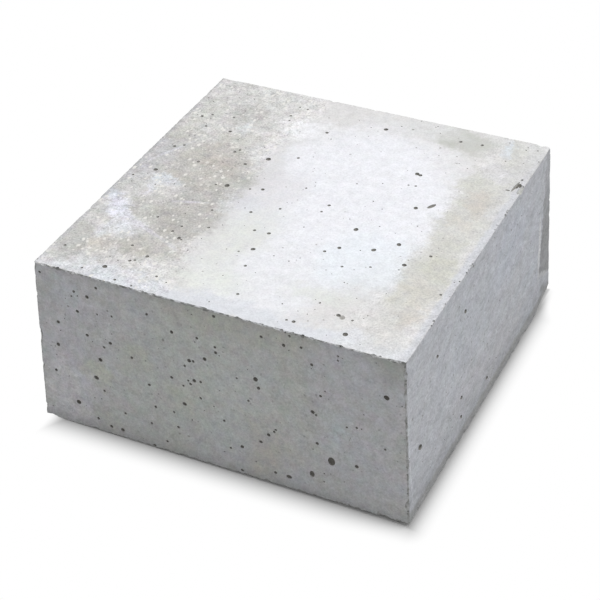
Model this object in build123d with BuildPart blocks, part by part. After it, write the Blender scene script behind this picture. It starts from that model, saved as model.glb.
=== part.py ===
"""Cast concrete paving block: one solid, standing as it is laid.

The block is cast in a mould with a little draft, so it narrows towards its face on top. X runs along the front from
left to right, Y from the front to the back and Z up. The origin is at the middle of the underside. Sizes are in mm.
"""
import os
from math import cos, radians, sin, tan

from build123d import *

# Driving sizes
FACE_SIDE = 200.0
HEIGHT = 98.0
DRAFT = 2.5
UPRIGHT_ARRIS_RADIUS = 1.4
WORN_UPRIGHT_RADIUS = 3.6
FACE_ARRIS_RADIUS = 0.8
BASE_ARRIS_RADIUS = 1.2

# The back right arris is broken off along a flat facet that cuts far across the right side and little into the back
FACET_WIDTH_AT_BASE = 18.0
FACET_WIDTH_AT_FACE = 7.0
FACET_DEPTH_AT_BASE = 1.5

# Air voids in the three cast faces, as {diameter in mm: places}. A place is in hundredths: on the face of the half
# side, to the right and to the back, and on an upright side of the half side and of the height. Voids that touch
# are one long void.
FACE_VOIDS = {
    3.2: [(60, -81)],
    2.9: [(-44, -2), (-36, 30)],
    2.6: [(10, 82), (44, 47), (35, -12), (60, -16), (51, -25), (66, -92)],
    2.4: [(55, 17), (-87, -3), (70, -31), (-5, -48), (-66, -90)],
    2.1: [(-44, -54), (57, -80), (61.5, 20), (62.5, 21.7), (63, 23)],
    1.9: [(46, 46), (-91, 56), (-69, 47), (-25, 2), (34, -30), (-4, -33), (-51, -74), (24, 88), (13, 2)],
}
FRONT_VOIDS = {
    3.8: [(62.5, 26), (62.5, 28)],
    2.9: [(90, 76), (-69, 36), (-80, 16), (50, 14.5), (50, 15.8), (38, 8)],
    2.6: [(22, 65)],
    2.3: [(-65, 49), (-18, 36), (-90, 51), (-55, 6), (52, 55), (-5, 69)],
    2.0: [(-70, 87), (-89, 66), (-58, 62), (-14, 65), (-12, 53), (74, 28), (13, 19), (23, 60), (28, 32), (23, 26)],
    1.9: [(-23, 80), (38, 91), (-61, 6), (-77, 77), (-72, 63), (-92, 34)],
}
RIGHT_VOIDS = {
    3.0: [(-84, 37)],
    2.3: [(-31, 26), (-32, 14), (4, 11), (-25, 77)],
    2.0: [(-61, 75), (-13, 85)],
}
VOID_SIDES = 8
VOID_DEPTH_SHARE = 0.6
VOID_TAPER = 22.0

# Spalls on the arrises and corners: x and y in hundredths of the half side and z of the height, then the length
# and the depth in mm. Where x or y is 100 or -100, or z is 0 or 100, that side of the block meets there.
SPALLS = (
    (-94, -100, 100, 4.0, 0.9),
    (-77, -100, 100, 3.0, 0.8),
    (-57, -100, 100, 2.6, 0.7),
    (-38, -100, 100, 3.4, 0.8),
    (-32, -100, 100, 3.0, 0.9),
    (27, -100, 100, 3.2, 0.9),
    (35, -100, 100, 4.0, 0.8),
    (53, -100, 100, 2.8, 0.8),
    (67, -100, 100, 4.2, 0.9),
    (84, -100, 100, 3.0, 1.0),
    (98, -100, 100, 7.0, 1.2),
    (100, 58, 100, 15.0, 1.9),
    (100, 56, 100, 5.0, 2.6),
    (-100, -100, 98, 5.0, 1.3),
    (-100, -100, 80, 4.0, 1.1),
    (-100, -100, 56, 3.0, 1.0),
    (-97, -100, 0, 11.0, 2.4),
    (52, -100, 0, 4.0, 1.1),
    (66, -100, 0, 3.0, 1.0),
    (93, -100, 0, 7.0, 1.2),
    (100, 97, 0, 42.0, 3.6),
    (100, -100, 44, 2.6, 1.0),
    (100, -100, 13, 2.8, 1.1),
)

HUNDREDTH = 0.01
lean = tan(radians(DRAFT))
base_half = FACE_SIDE / 2 + HEIGHT * lean
face_half = FACE_SIDE / 2
slant_height = HEIGHT / cos(radians(DRAFT))

face_plane = Plane.XY.offset(HEIGHT)
front_plane = Plane(
    origin=(0, -base_half, 0),
    x_dir=(1, 0, 0),
    z_dir=(0, -cos(radians(DRAFT)), sin(radians(DRAFT))),
)
right_plane = Plane(
    origin=(base_half, 0, 0),
    x_dir=(0, 1, 0),
    z_dir=(cos(radians(DRAFT)), 0, sin(radians(DRAFT))),
)


def half_side(height):
    """Half of the block's side at a height above the base."""
    return base_half - height * lean


def on_face(right, back):
    """Place on the face on top, in its plane."""
    return (right * HUNDREDTH * face_half, back * HUNDREDTH * face_half)


def on_side(across, up):
    """Place on an upright side, in the side's own leaning plane."""
    return (across * HUNDREDTH * half_side(up * HUNDREDTH * HEIGHT), up * HUNDREDTH * slant_height)


def on_outline(x, y, z):
    """Point on the outline of the whole block before anything is worn or broken off."""
    height = z * HUNDREDTH * HEIGHT
    half = half_side(height)
    return Vector(x * HUNDREDTH * half, y * HUNDREDTH * half, height)


def outward(x, y, z):
    """Direction away from the block at an arris or a corner."""
    return Vector(int(x / 100), int(y / 100), (z == 100) - (z == 0)).normalized()


def along_arris(x, y):
    """Direction of the arris: upright where two sides meet, else along the side that meets the face or base."""
    if abs(x) == 100 and abs(y) == 100:
        return Vector(0, 0, 1)
    return Vector(0, 1, 0) if abs(x) == 100 else Vector(1, 0, 0)


def void_pocket(diameter):
    """Pocket of an air void, with its mouth at the origin, open upwards, and a narrower floor."""
    with BuildPart() as pocket:
        with BuildSketch(Plane.XY):
            RegularPolygon(diameter / 2, side_count=VOID_SIDES)
        extrude(amount=-VOID_DEPTH_SHARE * diameter, taper=VOID_TAPER)
    return pocket.part


void_cuts = [
    (plane, [place(*spot) for spot in spots], void_pocket(diameter))
    for plane, place, voids in (
        (face_plane, on_face, FACE_VOIDS),
        (front_plane, on_side, FRONT_VOIDS),
        (right_plane, on_side, RIGHT_VOIDS),
    )
    for diameter, spots in voids.items()
]

with BuildPart() as block:
    with BuildSketch(Plane.XY):
        Rectangle(2 * base_half, 2 * base_half)
    extrude(amount=HEIGHT, taper=DRAFT)

    # The arrises as they left the mould, and the back left one worn rounder
    to_back_left = Axis((0, 0, 0), (-1, 1, 0))
    uprights = block.edges().group_by(Axis.Z)[1].sort_by(to_back_left)
    fillet(uprights[:-1], radius=UPRIGHT_ARRIS_RADIUS)
    fillet(block.edges().sort_by(to_back_left)[-1], radius=WORN_UPRIGHT_RADIUS)
    fillet(block.faces().sort_by(Axis.Z)[-1].edges(), radius=FACE_ARRIS_RADIUS)
    fillet(block.faces().sort_by(Axis.Z)[0].edges(), radius=BASE_ARRIS_RADIUS)

    # The broken back right arris
    facet_foot = Vector(base_half, base_half - FACET_WIDTH_AT_BASE, 0)
    facet_head = Vector(face_half, face_half - FACET_WIDTH_AT_FACE, HEIGHT)
    facet_back = Vector(base_half - FACET_DEPTH_AT_BASE, base_half, 0)
    facet_plane = Plane(
        origin=facet_foot,
        x_dir=facet_head - facet_foot,
        z_dir=(facet_back - facet_foot).cross(facet_head - facet_foot),
    )
    split(bisect_by=facet_plane, keep=Keep.BOTTOM)

    # Spalls: each is a notch of three broken facets across the arris, with its deepest point to one side of the middle
    for number, (x, y, z, length, depth) in enumerate(SPALLS):
        along = along_arris(x, y) * (-1) ** number
        with BuildSketch(Plane(origin=on_outline(x, y, z), x_dir=along, z_dir=along.cross(outward(x, y, z)))):
            with BuildLine():
                Polyline(
                    (-length / 2, depth),
                    (-length / 2, 0),
                    (-length / 8, -depth),
                    (length / 4, -depth * 3 / 4),
                    (length / 2, 0),
                    (length / 2, depth),
                    close=True,
                )
            make_face()
        extrude(amount=2 * depth, both=True, mode=Mode.SUBTRACT)

    # Air voids
    for plane, places, pocket in void_cuts:
        with Locations(plane):
            with Locations(places):
                add(pocket, mode=Mode.SUBTRACT)

block.part.label = "concrete_block"
os.makedirs("parts", exist_ok=True)
export_step(block.part, "parts/concrete_block.step")
print("volume in litres", round(block.part.volume / 1e6, 3))
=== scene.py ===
"""Cast concrete paving block: its worn form and finish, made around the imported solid.

X runs along the front from left to right, Y from the front to the back and Z up, from the middle of the
underside. Places and sizes in the lists are in mm and everything else is in metres.
"""

import math
import random

import bmesh
import bpy
from mathutils import Matrix, Vector


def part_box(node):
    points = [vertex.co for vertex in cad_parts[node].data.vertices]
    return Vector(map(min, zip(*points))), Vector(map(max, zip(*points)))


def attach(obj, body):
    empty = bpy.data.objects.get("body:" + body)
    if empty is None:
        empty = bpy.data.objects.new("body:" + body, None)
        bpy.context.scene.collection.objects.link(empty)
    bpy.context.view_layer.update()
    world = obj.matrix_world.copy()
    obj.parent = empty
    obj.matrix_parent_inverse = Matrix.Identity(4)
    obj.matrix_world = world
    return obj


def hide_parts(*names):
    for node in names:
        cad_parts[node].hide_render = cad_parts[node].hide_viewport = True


bl_info = {
    "name": "Cast concrete block",
    "version": (1, 0, 0),
    "blender": (4, 5, 0),
    "location": "3D View > Sidebar > Block",
    "description": "Makes a worn cast concrete paving block on a plain studio floor",
    "category": "Object",
}

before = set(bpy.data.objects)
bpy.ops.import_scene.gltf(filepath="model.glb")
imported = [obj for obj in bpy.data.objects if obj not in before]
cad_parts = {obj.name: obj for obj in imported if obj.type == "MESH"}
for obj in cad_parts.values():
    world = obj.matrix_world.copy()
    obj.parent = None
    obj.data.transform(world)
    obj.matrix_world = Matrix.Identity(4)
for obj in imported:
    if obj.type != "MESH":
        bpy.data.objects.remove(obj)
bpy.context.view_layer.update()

MM = 0.001
NODE = "concrete_block"
block_low, block_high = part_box(NODE)

# Air voids seen on each face, as (right, up or back, diameter)
FACE_VOIDS = (
    (10.3, 82, 2.6), (53, 85.7, 1.8), (65, 86.9, 1.8), (-18.4, 66.4, 1.8), (-44.3, 85.4, 1.2),
    (-39.3, 84.9, 1.2), (-45, 75, 1.5), (-43.4, 70, 1.2), (-73.9, 61.3, 1.3), (-86.4, 59.1, 1.3),
    (-91.1, 55.6, 1.9), (-83.9, 47, 1.6), (-68.7, 47, 1.9), (43.6, 47.1, 2.6), (45.7, 46.5, 2.0),
    (47.4, 36, 1.3), (43.6, 35.4, 1.0), (-21.6, 37, 1.6), (-36, 29.7, 2.8), (-54.6, 31.9, 1.3),
    (-56.3, 29.1, 1.6), (-45.3, 20.4, 1.8), (-85.3, 24.7, 1.6), (-89.7, 21.7, 1.8), (-69.9, 12.9, 1.7),
    (55.4, 17.1, 2.4), (-4.7, 12, 1.2), (-25.3, 2.1, 1.9), (13.3, 2.1, 1.7), (12.1, -4.6, 1.3),
    (-31.7, -0.1, 1.3), (-44.4, -1.9, 2.9), (-87.4, -2.9, 2.4), (-50.4, -3.4, 1.3), (-8.7, -10.6, 1.4),
    (-96.1, -11.9, 1.5), (35.1, -12.3, 2.7), (60.3, -16, 2.6), (-21.3, -19.1, 1.6), (78.7, -19.1, 1.6),
    (50.6, -25.1, 2.6), (34.1, -30.1, 1.9), (69.6, -30.9, 2.4), (-40.7, -25.3, 1.4), (-12, -33, 1.6),
    (-4, -32.6, 1.9), (28.6, -35.6, 1.6), (55, -38.9, 1.3), (-34.7, -40, 1.5), (-63.6, -41.7, 1.4),
    (42, -43.9, 1.4), (-47.9, -44.4, 1.3), (95, -46.3, 1.4), (-5.1, -47.9, 2.4), (-50.1, -50, 1.5),
    (-44.1, -54, 2.1), (-42.3, -54.9, 1.3), (-10.9, -52.4, 1.2), (-2.1, -61.9, 1.5), (-62.7, -68.7, 1.4),
    (-50.9, -74.1, 1.9), (44.7, -74.7, 1.2), (56.9, -79.9, 2.2), (64.6, -80.9, 1.2), (-57.1, -80.6, 1.7),
    (-55, -79.3, 1.3), (-94.3, -81.9, 1.6), (5.3, -83.9, 1.6), (-38.1, -86.9, 1.3), (-66, -89.7, 2.5),
    (65.9, -91.7, 2.6), (39.6, -92.6, 1.8), (35.9, -92.7, 1.3), (-76, -95.1, 1.3), (-55.7, -97.3, 1.4),
    (-45.7, -98.4, 1.2), (96, 54.9, 2.0), (96.6, 62.8, 1.2),
)
FRONT_VOIDS = (
    (-64.9, 92.7, 1.6), (-78.3, 86.9, 1.5), (-70.7, 85.7, 2.0), (-80, 83.6, 1.1), (-77.4, 75.1, 1.8),
    (-65.7, 76.6, 1.2), (-57.2, 77.8, 1.3), (-89.9, 64.9, 2.0), (-73, 61.6, 1.8), (-59.5, 60.6, 2.0),
    (-63.5, 56.9, 1.5), (-91.5, 50.3, 2.2), (-66.5, 48.1, 2.4), (-70, 35.6, 2.8), (-94.7, 32.9, 1.8),
    (-65.9, 28.4, 1.4), (-82.7, 15.6, 2.8), (-54.3, 17.4, 1.4), (-71.4, 8.4, 1.7), (-63.7, 5.6, 1.9),
    (-56.9, 5.5, 2.2), (-36.6, 85.1, 1.6), (-23.1, 78.5, 1.9), (-9.1, 79, 1.5), (-47.5, 55.3, 1.7),
    (-5.4, 67.5, 2.1), (-14.2, 63.8, 2.1), (-11.9, 64.1, 1.5), (-16.9, 59.8, 1.5), (-24.9, 50.1, 1.6),
    (-12, 52.1, 2.0), (-15.4, 51.1, 1.2), (-8.4, 52.4, 1.5), (-14.2, 49.4, 1.6), (-18.4, 47, 1.3),
    (-38.4, 41.1, 1.7), (-8.9, 42.1, 1.5), (-18.4, 35.4, 2.3), (-35.6, 27.9, 1.6), (-24.9, 28, 1.4),
    (-38.8, 16.1, 1.5), (-22.9, 18.9, 1.5), (-30.1, 7.1, 1.4), (-38, 1.8, 1.8), (-97.6, 93.3, 1.5),
    (0.9, 94.9, 1.7), (26.1, 90.4, 1.6), (37.9, 89, 1.9), (41, 95.3, 1.5), (47, 90.4, 1.4),
    (65.9, 91.2, 1.1), (65.9, 88.7, 1.1), (52.4, 82.1, 1.6), (0.7, 76.5, 1.4), (0.9, 73.3, 1.7),
    (90.7, 74.9, 3.0), (22.3, 63.9, 2.6), (23.8, 59, 1.9), (56.9, 64.9, 1.5), (12, 61.3, 1.1),
    (52.7, 53.9, 2.2), (54.5, 52.6, 1.3), (70.6, 50.5, 1.2), (75.8, 51.9, 1.3), (18, 49.3, 1.3),
    (90.6, 43.7, 1.2), (32.6, 35.9, 1.4), (31.7, 34.4, 1.4), (28.6, 31.4, 1.9), (24.1, 25.5, 1.9),
    (3.9, 32.1, 1.5), (55, 35.1, 1.7), (76, 27.9, 2.0), (13.5, 18.6, 2.1), (6.9, 15.6, 1.3),
    (31.9, 8.3, 1.6), (13, 3.1, 1.6),
)

# Shallow, faint voids, in the same way
FACE_DIMPLES = (
    (24, 87.6, 2.0), (59.2, -80.7, 4.2), (-82.5, -1, 1.4), (-79.7, -6.3, 1.2), (-53.3, -28, 1.3),
    (-65.5, -28, 1.2), (-35.4, -25, 1.3), (-4, -16, 1.3), (-76, -49, 1.2), (-94, -51.5, 1.2),
    (-25, -65, 1.3), (-16, -66, 1.2), (-19.3, -74.3, 1.3), (-42.3, -89.3, 1.3), (-58, -86.3, 1.3),
    (-24.2, 81, 1.4), (33, 71, 1.5), (45, 75.7, 1.6), (56.5, 71, 1.3), (59, 64.5, 1.3), (2.8, 51, 1.5),
    (70, 40, 1.2), (-14.5, 41, 1.3), (-8.5, 28, 1.2), (-15, 9, 1.3), (-33.5, 12, 1.3), (22.3, -32, 1.4),
    (8, -41, 1.3), (31, -42, 1.2), (53, -40, 1.2), (48.5, -44, 1.2), (36, -49.5, 1.3), (50.2, -55.5, 1.3),
    (73.5, -84, 1.3), (52, -86, 1.3), (45.5, -89.5, 1.3), (83, -69.5, 1.2), (78.5, -2.3, 1.4),
    (73, -17.7, 1.2), (65, -25, 1.3), (70, -26.5, 1.2),
)
FRONT_DIMPLES = (
    (-82.7, 76.6, 1.7), (-28.4, 71.9, 1.7), (-22.5, 14.8, 1.5), (-17.2, 14.8, 1.8), (58.6, 84.1, 1.4),
)
RIGHT_DIMPLES = (
    (-13.3, 83.1, 1.9), (-13.4, 95, 1.6), (-42.5, 47.6, 1.6), (-82.4, 52.8, 1.6), (-94.7, 59.9, 1.7),
    (-17.5, 50.5, 1.4), (41, 82, 1.9), (50, 80, 1.3), (80, 28.5, 1.6), (66, 37.5, 1.6),
)

# Long voids, as (right, up or back, length, width, turn in degrees)
FACE_LONG_VOIDS = (
    (62.3, 21.7, 5.4, 2.1, 60), (95.5, 55.4, 9.0, 1.3, 84), (97.1, 57.2, 3.2, 2.0, 84),
    (92.9, 50.8, 2.2, 1.1, 10),
)
FRONT_LONG_VOIDS = (
    (62.6, 26.4, 5.2, 3.8, 90), (52.1, 14.7, 3.6, 2.6, 90), (39.4, 8.2, 2.9, 2.2, 0),
)
RIGHT_LONG_VOIDS = (
    (-86.7, 36.3, 4.8, 2.9, -38), (-62, 73.9, 3.0, 1.9, -38), (-25, 75.2, 3.3, 2.1, -38),
    (-32.4, 25.4, 3.3, 2.0, -38), (-33.4, 13.4, 3.2, 1.8, -50), (3.7, 11, 3.2, 1.9, -38),
)

# How the places above are moved to suit the camera: across in mm, and its growth across and up, then the
# same upwards
FACE_FIT = ((0.7, -0.0075, 0.002), (0.48, 0.0012, -0.002))
FRONT_FIT = ((0.15, -0.0025, 0.0042), (0.35, 0.0068, -0.003))
RIGHT_FIT = ((-2.1, -0.016, 0.0), (2.3, 0.0, -0.0145))

# Spalls on the arrises and corners: x, y and z of the place in hundredths of the half side and of the height,
# as the solid has them, then the length and the depth. Where x or y is 100 or -100, or z is 0 or 100, that
# side meets there.
SPALLS = (
    (-94, -100, 100, 4.0, 0.9),
    (-77, -100, 100, 3.0, 0.8),
    (-57, -100, 100, 2.6, 0.7),
    (-45, -100, 100, 2.2, 0.6),
    (-38, -100, 100, 3.4, 0.8),
    (-32, -100, 100, 3.0, 0.9),
    (27, -100, 100, 3.2, 0.9),
    (35, -100, 100, 4.0, 0.8),
    (47, -100, 100, 2.2, 0.6),
    (53, -100, 100, 2.8, 0.8),
    (67, -100, 100, 4.2, 0.9),
    (84, -100, 100, 3.0, 1.0),
    (92, -100, 100, 2.6, 0.8),
    (98, -100, 100, 7.0, 1.2),
    (99, 54, 100, 9.0, 1.2),
    (100, 53, 100, 6.0, 1.5),
    (100, 100, 100, 5.0, 1.5),
    (-100, 100, 100, 6.0, 1.2),
    (-100, -100, 98, 5.0, 1.3),
    (-100, -100, 80, 4.0, 1.1),
    (-100, -100, 56, 3.0, 1.0),
    (-97, -100, 0, 9.0, 1.4),
    (52, -100, 0, 4.0, 1.1),
    (66, -100, 0, 3.0, 1.0),
    (100, 80, 0, 12.0, 3.0),
    (100, 90, 0, 20.0, 3.8),
    (100, 100, 0, 16.0, 4.4),
    (100, -100, 65, 1.8, 0.7),
    (100, -100, 44, 2.4, 0.9),
    (100, -100, 35, 1.8, 0.7),
    (100, -100, 24, 2.0, 0.8),
    (100, -100, 13, 1.2, 0.6),
    (100, -100, 7, 1.6, 0.7),
)

# Bloom and stains, from the lowest to the uppermost: place to the right and back, half width, half depth,
# turn in degrees, softness of the edge, strength and colour
FACE_GROUND = (
    (-76, 0, 34, 112, 0, 0.25, 0.9, (205, 204, 203)),
    (17, 8, 54, 76, 0, 0.22, 1.0, (235, 236, 241)),
    (10, -66, 36, 32, 0, 0.3, 0.9, (232, 233, 237)),
    (52, -36, 22, 26, 0, 0.4, 0.6, (230, 236, 242)),
    (0, -96, 105, 9, 0, 0.5, 0.8, (218, 221, 227)),
)
FACE_STAINS = (
    (-30, 2, 9, 52, 0, 0.6, 0.6, (208, 207, 206)),
    (-10, -22, 12, 20, 0, 0.6, 0.5, (215, 217, 214)),
    (-52, -14, 14, 8, 0, 0.5, 0.9, (180, 178, 176)),
    (-92, 8, 9, 22, 0, 0.5, 0.7, (186, 186, 190)),
    (96, 60, 9, 46, 0, 0.5, 0.7, (201, 202, 203)),
    (60, 92, 44, 8, 0, 0.5, 0.6, (209, 210, 209)),
    (-28, 68, 12, 10, 0, 0.5, 0.8, (239, 240, 244)),
    (-14, -46, 13, 24, 0, 0.5, 0.6, (217, 219, 212)),
    (-14, -76, 20, 10, 0, 0.5, 0.6, (225, 229, 221)),
    (-18, 6, 14, 16, 0, 0.5, 0.7, (219, 217, 220)),
    (-25, -12, 12, 10, 0, 0.4, 0.5, (214, 216, 223)),
    (-60, 12, 28, 23, -20, 0.3, 0.95, (189, 187, 182)),
    (-47, -36, 18, 20, 0, 0.3, 0.95, (183, 181, 177)),
    (-54, -66, 19, 11, -15, 0.35, 0.9, (189, 187, 181)),
    (-38, 2, 10, 14, 0, 0.4, 0.7, (184, 185, 180)),
    (-58, 20, 17, 8, -38, 0.4, 0.6, (196, 189, 184)),
    (-66, 70, 10, 14, 0, 0.4, 0.9, (193, 192, 190)),
    (-62, 42, 14, 10, 0, 0.5, 0.6, (203, 203, 197)),
    (-90, 62, 8, 14, 0, 0.5, 0.7, (207, 208, 202)),
    (-92, 34, 8, 7, 0, 0.5, 0.7, (193, 193, 185)),
    (-90, -72, 9, 13, 0, 0.4, 0.8, (184, 184, 180)),
    (-77, -68, 6, 14, 10, 0.4, 0.8, (201, 197, 190)),
    (-73, -33, 11, 7, 15, 0.5, 0.8, (189, 189, 184)),
    (-58, 88, 17, 10, 0, 0.4, 0.7, (212, 213, 211)),
    (-75, -8, 7.5, 5.5, 0, 0.5, 0.8, (219, 225, 232)),
    (-76, -18, 2.4, 5, -15, 0.5, 0.7, (226, 227, 233)),
    (-95, -33, 8, 5, -30, 0.5, 0.8, (195, 201, 207)),
    (-82, -42, 15, 7, -30, 0.6, 0.9, (227, 228, 238)),
    (-77, -57, 7, 9, 0, 0.5, 0.8, (219, 222, 227)),
    (-62, 55, 5, 7, 0, 0.5, 0.8, (214, 218, 221)),
    (83, -2, 12, 84, 0, 0.4, 0.9, (204, 204, 198)),
    (86, 34, 6, 14, 18, 0.5, 0.7, (200, 193, 186)),
    (81, 11, 5, 5, 0, 0.5, 0.5, (210, 204, 197)),
    (86, -28, 7, 10, 0, 0.5, 0.8, (199, 199, 189)),
    (84, -50, 7, 9, 0, 0.5, 0.7, (204, 201, 193)),
    (88, -68, 6, 8, 0, 0.5, 0.7, (209, 203, 196)),
    (72, 56, 7, 11, 0, 0.5, 0.6, (198, 199, 189)),
    (56, 88, 13, 11, 0, 0.45, 0.8, (185, 187, 179)),
    (30, 92, 30, 6, 0, 0.5, 0.5, (222, 223, 224)),
    (84, 88, 4, 10, 0, 0.5, 0.6, (206, 207, 200)),
    (79, 88, 4, 8, 0, 0.5, 0.7, (209, 216, 223)),
    (80, 66, 10, 6, 0, 0.5, 0.6, (218, 217, 223)),
    (42, -70, 20, 7, 0, 0.5, 0.6, (218, 221, 215)),
    (62, -84, 26, 7, 0, 0.5, 0.6, (221, 219, 218)),
)

# Light streaks and rims on the face
FACE_LINES = (
    (98.2, -22, 2.4, 92, 0, 0.5, 0.8, (202, 204, 210)),
    (-99, 0, 2.4, 105, 0, 0.5, 0.5, (182, 183, 186)),
    (-53.3, -22.3, 9, 0.9, 17, 0.6, 0.6, (212, 210, 218)),
    (-88, 17, 15, 1.0, 63, 0.6, 0.7, (216, 215, 221)),
    (-74.5, -48, 8.6, 1.3, -24, 0.6, 0.5, (213, 212, 220)),
    (-59.8, -54, 8, 1.3, -19, 0.6, 0.5, (211, 209, 218)),
    (-45.8, -59.8, 8, 1.2, -26, 0.6, 0.5, (205, 204, 211)),
    (-41, -65, 1.5, 1.1, 20, 0.4, 0.8, (226, 225, 222)),
    (86, -98.4, 13, 1.2, 0, 0.5, 0.6, (221, 223, 227)),
)

# Tints on the front and on the right side, in the same way but to the right or back and up
FRONT_STAINS = (
    (-74, 60, 26, 46, 0, 0.5, 0.8, (188, 187, 192)),
    (74, 56, 26, 52, 0, 0.5, 0.8, (182, 183, 187)),
    (-10, 50, 50, 40, 0, 0.5, 0.7, (184, 188, 185)),
    (10, 92, 42, 9, 0, 0.5, 0.7, (177, 178, 169)),
    (-69, 40, 8, 9, 0, 0.5, 0.8, (188, 189, 180)),
    (-68, 10, 11, 8, 0, 0.5, 0.7, (185, 187, 177)),
    (-90, 20, 14, 24, 0, 0.5, 0.7, (208, 207, 210)),
    (92, 92, 10, 9, 0, 0.5, 0.7, (161, 163, 159)),
    (-45, 56, 9, 10, 0, 0.5, 0.6, (184, 187, 177)),
    (-20, 30, 12, 9, 0, 0.5, 0.6, (182, 184, 174)),
    (29, 22, 12, 18, 0, 0.5, 0.6, (182, 179, 170)),
    (65, 48, 8, 10, 0, 0.5, 0.6, (180, 188, 189)),
    (-86, 82, 9, 9, 0, 0.5, 0.6, (184, 189, 193)),
)
RIGHT_STAINS = (
    (-30, 62, 34, 26, -20, 0.5, 0.6, (184, 187, 193)),
    (35, 76, 26, 18, 20, 0.5, 0.6, (186, 190, 199)),
    (10, 22, 60, 12, 0, 0.5, 0.6, (184, 184, 188)),
    (70, 40, 14, 40, -4, 0.5, 0.6, (184, 187, 194)),
)
RIGHT_LINES = (
    (83.2, 43, 1.5, 19, -4, 0.5, 0.9, (207, 208, 209)),
    (91, 20.6, 9.5, 1.6, -25, 0.5, 0.8, (196, 196, 198)),
    (91, 10.5, 5, 2.4, -20, 0.6, 0.9, (150, 151, 152)),
    (-100, 42, 0.8, 52, 2.5, 0.5, 0.5, (206, 208, 213)),
)

# Kinds of mark in the survey
ARRIS, VOID, CHIP, SLAB = 0, 1, 2, 3

# How deep the middle of a cutter lies below the surface, in its widths
VOID_SUNK, DIMPLE_SUNK, LONG_VOID_SUNK = 0.2, -0.32, 0.15

# A void's cutter: its radius as a share of the void's width, what that share loses for each mm of width, how
# narrow it may be drawn, and how much longer than wide a dimple is
CUTTER_SHARE, CUTTER_LOSS = 0.59, 0.018
NARROWEST, DIMPLE_LENGTH = 0.85, 1.15

# A spall's width for its depth, and where a place counts as next to a corner, in hundredths
SPALL_WIDTH, BY_CORNER = 1.3, 97

# Half sizes of the slab that takes off the facet: along the facet, across it and outwards
SLAB_REACH = (0.09, 0.04, 0.012)

# Points of the body along its sides and upwards, how finely the arrises are followed, how far crumbs stray
# from them, the smallest crumb and voids, and the angle from which an edge is drawn sharp
BODY_POINTS, BODY_LAYERS = 43, 21
ARRIS_STEP, CRUMB_STRAY = 0.0008, 0.0009
SMALLEST_CRUMB, SMALLEST_FINE, SMALLEST_COARSE = 0.00025, 0.00022, 0.0005
CREASE_ANGLE = 20

# The bar that takes off an arris: how far in mm it goes on past the ends, how deep a break goes at most, and
# its section for a radius of one, as the widths of its outer and inner sides and how the outer one stands out
ARRIS_SPARE, DEEPEST_BREAK = 3, 0.0013
BAR_WIDTHS, BAR_STANDS_OUT = (1.5, 0.8165), (1.8, -0.6)

# The unworn block's corners, in hundredths of its half side
FRONT_LEFT, FRONT_RIGHT, BACK_RIGHT, BACK_LEFT = (-100, -100), (100, -100), (100, 100), (-100, 100)
CORNERS = (FRONT_LEFT, FRONT_RIGHT, BACK_RIGHT, BACK_LEFT)

# Edges of parts of the finish, each from where it begins to where it is full: the stained left of the face
# and the band along its right, the inside of the right side's voids, and the facet's dark part, partly its
# broken surface and partly painted shade of its turn away from the light. That one is above a line that
# falls towards the back, and its edge is given for the middle.
STAINED_EDGE = (-0.036, -0.028)
BAND_EDGE = (0.060, 0.072)
RIGHT_SKIN = (0.0952, 0.0962)
FACET_EDGE = (0.0620, 0.0645)
FACET_EDGE_FALL = 0.468

# What each tint leaves of the colour under it where it is darkest, and how strong the foot's and the flecks'
# colours are. Towards the foot the paste is darkened partly as damp and partly as painted shade of
# the floor's shadow; the band on the right is painted shade of its rounded foot, and the foot's colour
# is partly damp and partly painted shade.
DAMP_AND_PAINTED_SHADE, FRONT_TOP_DARKENING, GRIT_SHADE, SPOT_SHADE = 0.64, 0.88, 0.94, 0.72
PAINTED_FOOT_SHADE = (0.84, 0.83, 0.78, 1.0)
FOOT_SHARE, FLECK_SHARE = 0.45, 0.82

# The shadow on the floor: how dark and how wide it is against the right side, how many times it is shorter on
# the left and at the back, and how its edge curves
SHADOW_FOOT_SHADE, SHADOW_FOOT_REACH = 0.74, 0.006
LEFT_SHORTER, BACK_SHORTER = 9.0, 10.0
SHADOW_CURVE = 1.15

# Where it shrinks, from and to in metres from the block's middle, and how many times: towards the back on the
# right side, and towards the right in front. Then where it clears at the back of the right side, and how far.
RIGHT_SHRINKS, RIGHT_SHRUNK = (0.075, 0.103), (1.0, 3.4)
FRONT_SHRINKS, FRONT_SHRUNK = (0.06, 0.105), (1.1, 1.4)
RIGHT_CLEARS, RIGHT_CLEARED = (0.084, 0.106), (0.0, 0.95)

WHITE = (1.0, 1.0, 1.0, 1.0)

# The photograph's view: turn from the front towards the right, rise and roll in degrees, the lens and the
# sensor in mm, and the camera's place across, up and back in its own directions
VIEW_AZIMUTH, VIEW_ELEVATION, VIEW_ROLL = 27.406, 37.183, -2.476
VIEW_LENS, VIEW_SENSOR = 97.82, 36.0
VIEW_PLACE = (-0.004726, 0.027398, 0.90015)

# The lamp's turn and rise in the same way, then its width and its distance
LAMP_AZIMUTH, LAMP_ELEVATION = 100, 66
LAMP_WIDTH, LAMP_DISTANCE = 1.6, 2.2


def colour(red, green, blue):
    """A colour given as it shows on a screen, from 0 to 255, as the light that it gives back."""
    def linear(byte):
        share = byte / 255
        return share / 12.92 if share <= 0.04045 else ((share + 0.055) / 1.055) ** 2.4

    return (linear(red), linear(green), linear(blue), 1.0)


def length_property(name, description, default):
    """A length that a user can change."""
    return bpy.props.FloatProperty(name=name, description=description, default=default, unit="LENGTH")


def tint_property(name, description, *shown):
    """A colour that a user can change."""
    return bpy.props.FloatVectorProperty(
        name=name, description=description, subtype="COLOR", size=4, min=0.0, max=1.0, default=colour(*shown)
    )


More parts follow.
